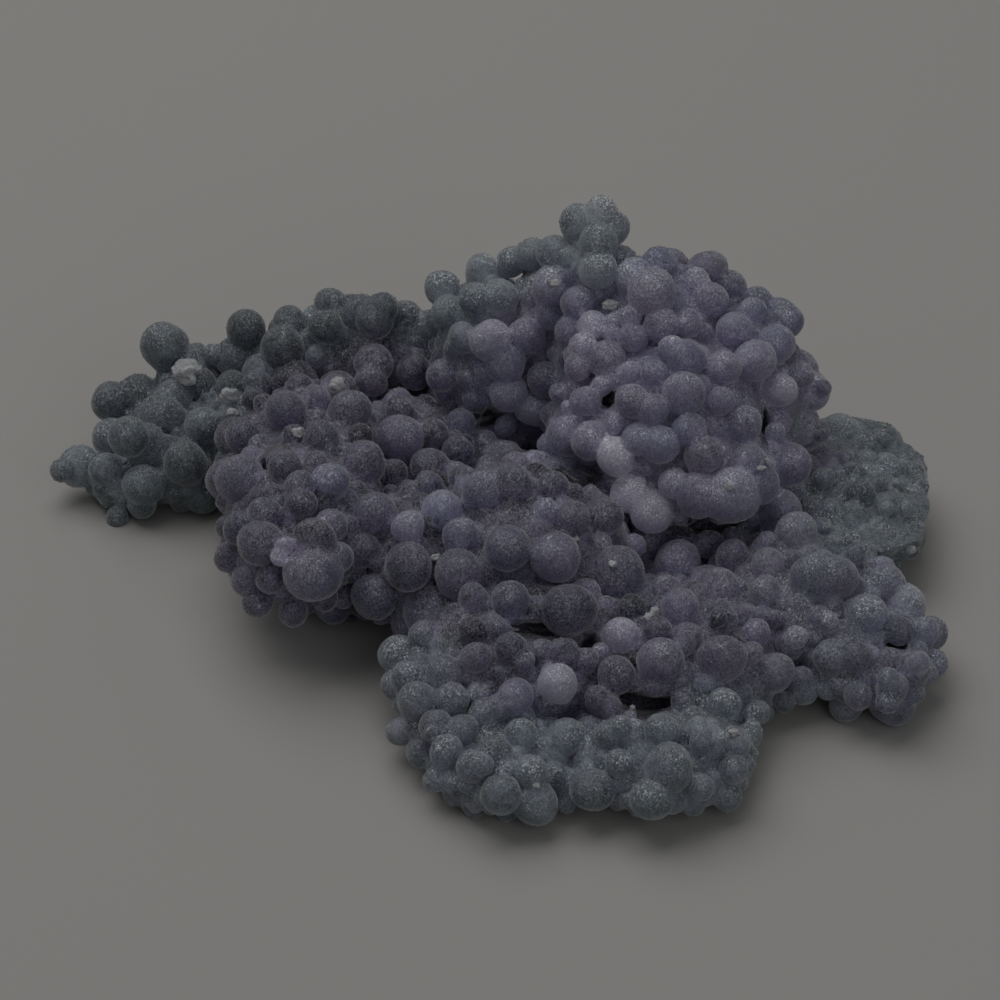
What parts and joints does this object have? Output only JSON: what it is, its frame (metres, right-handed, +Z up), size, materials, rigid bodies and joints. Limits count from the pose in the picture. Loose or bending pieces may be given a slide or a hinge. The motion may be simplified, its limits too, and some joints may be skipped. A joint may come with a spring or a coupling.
{
  "type": "botryoidal chalcedony",
  "caption": "Mineral specimen: a wavy crust of round, grape-like chalcedony beads grown into each other, cut flat below so that it rests.",
  "frame": {"origin": "in the flat seat it rests on, under the middle of the specimen", "axes": "+X to the right seen from the front, the longest way across; -Y towards the front, the low lip; +Z up, out of the seat"},
  "size_m": [0.0723, 0.0613, 0.0266],
  "materials": {
    "chalcedony": "frosted, waxy, dusty violet turning grey-green towards the edges, with a fine quartz sparkle"
  },
  "bodies": {
    "root": {"botryoidal_chalcedony": "chalcedony"}
  },
  "joints": []
}
